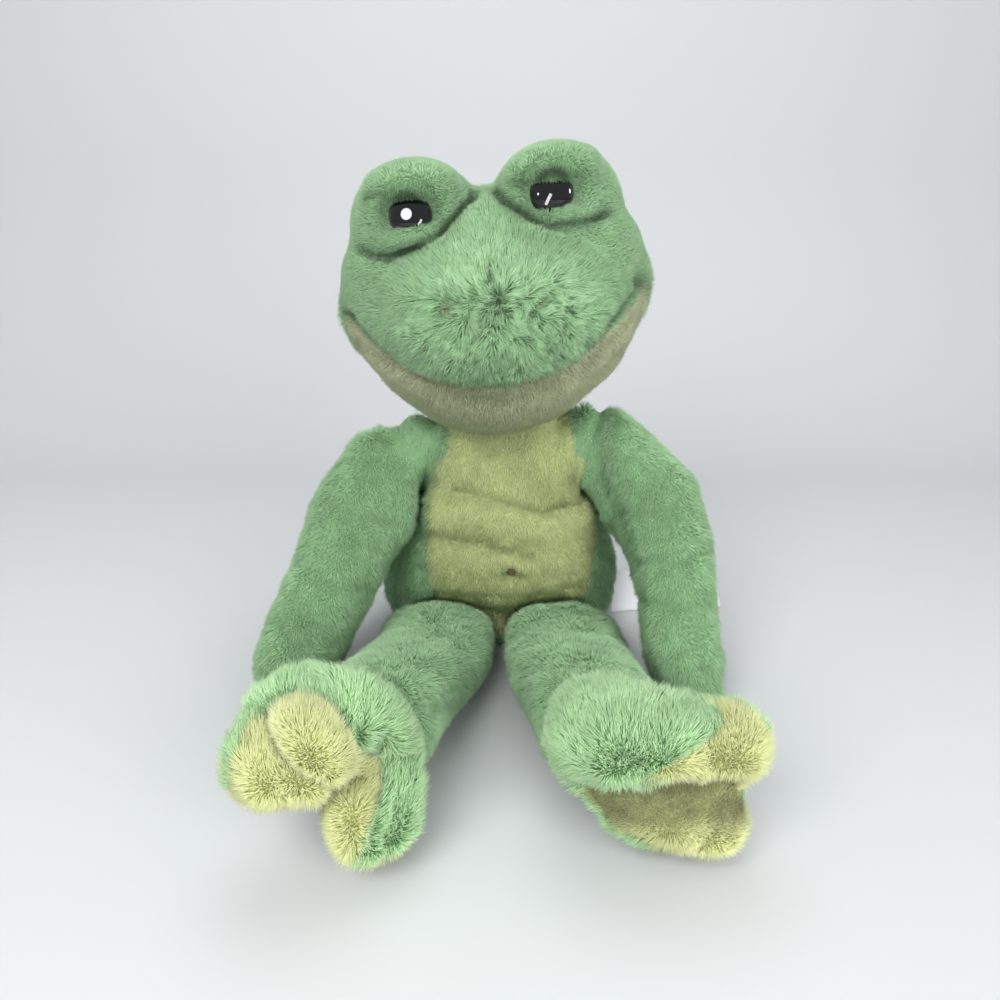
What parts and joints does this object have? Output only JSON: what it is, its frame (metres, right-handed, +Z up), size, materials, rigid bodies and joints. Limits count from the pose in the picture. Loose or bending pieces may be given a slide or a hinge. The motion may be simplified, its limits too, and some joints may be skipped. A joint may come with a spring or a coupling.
{
  "type": "plush frog",
  "caption": "Long-limbed stuffed frog that sits upright, with a padded round head, plastic eyes, soft arms and legs and cupped feet.",
  "frame": {"origin": "middle of the flat that the body rests on, on the seat's surface", "axes": "+Z up, the frog faces -Y, +X towards the frog's own left"},
  "size_m": [0.2904, 0.3284, 0.2974],
  "materials": {
    "pile_green": "matt plush pile",
    "pile_lime": "matt plush pile",
    "pile_sage": "matt plush pile",
    "fibre_white": "loose polyester fibre",
    "pellet_cloth": "woven cotton pouch with pellets",
    "gloss_black": "polished",
    "lock_white": "moulded",
    "thread_brown": "embroidery thread",
    "satin_white": "woven satin tape"
  },
  "bodies": {
    "torso": {"body_skin": "pile_green", "belly_panel": "pile_lime", "navel_stitch": "thread_brown", "pellet_pouch": "pellet_cloth", "body_filling": "fibre_white", "side_label": "satin_white"},
    "neck": {"neck_filling": "fibre_white"},
    "head": {"head_skin": "pile_green", "chin_panel": "pile_sage", "head_filling": "fibre_white", "nostril_right": "thread_brown", "eye_mound_right": "pile_green", "mound_filling_right": "fibre_white", "eye_right": "gloss_black", "eye_washer_right": "lock_white", "eyelid_right": "pile_green", "nostril_left": "thread_brown", "eye_mound_left": "pile_green", "mound_filling_left": "fibre_white", "eye_left": "gloss_black", "eye_washer_left": "lock_white", "eyelid_left": "pile_green"},
    "arm_right": {"arm_skin_right": "pile_green", "arm_filling_right": "fibre_white"},
    "leg_right": {"leg_skin_right": "pile_green", "leg_filling_right": "fibre_white"},
    "foot_right": {"foot_upper_right": "pile_green", "foot_sole_right": "pile_lime", "foot_filling_right": "fibre_white"},
    "arm_left": {"arm_skin_left": "pile_green", "arm_filling_left": "fibre_white"},
    "leg_left": {"leg_skin_left": "pile_green", "leg_filling_left": "fibre_white"},
    "foot_left": {"foot_upper_left": "pile_green", "foot_sole_left": "pile_lime", "foot_filling_left": "fibre_white"}
  },
  "joints": [
    {"name": "head_turn", "type": "hinge", "parent": "torso", "child": "neck", "pos_m": [0, 0, 0.139], "axis": [0, 0, 1], "range_deg": [-30, 30]},
    {"name": "head_nod", "type": "hinge", "parent": "neck", "child": "head", "pos_m": [0, 0, 0.139], "axis": [1, 0, 0], "range_deg": [-12, 10]},
    {"name": "shoulder_right", "type": "hinge", "parent": "torso", "child": "arm_right", "pos_m": [-0.046, 0, 0.117], "axis": [-1, 0, 0], "range_deg": [0, 55]},
    {"name": "hip_right", "type": "hinge", "parent": "torso", "child": "leg_right", "pos_m": [-0.0385, -0.046, 0.01564], "axis": [-1, 0, 0], "range_deg": [0, 25]},
    {"name": "ankle_right", "type": "hinge", "parent": "leg_right", "child": "foot_right", "pos_m": [-0.055, -0.20275, 0.03874], "axis": [-1, 0, 0], "range_deg": [-15, 15]},
    {"name": "shoulder_left", "type": "hinge", "parent": "torso", "child": "arm_left", "pos_m": [0.046, 0, 0.117], "axis": [-1, 0, 0], "range_deg": [0, 55]},
    {"name": "hip_left", "type": "hinge", "parent": "torso", "child": "leg_left", "pos_m": [0.0385, -0.046, 0.01564], "axis": [-1, 0, 0], "range_deg": [0, 25]},
    {"name": "ankle_left", "type": "hinge", "parent": "leg_left", "child": "foot_left", "pos_m": [0.0451, -0.1978, 0.03379], "axis": [-1, 0, 0], "range_deg": [-15, 15]}
  ]
}
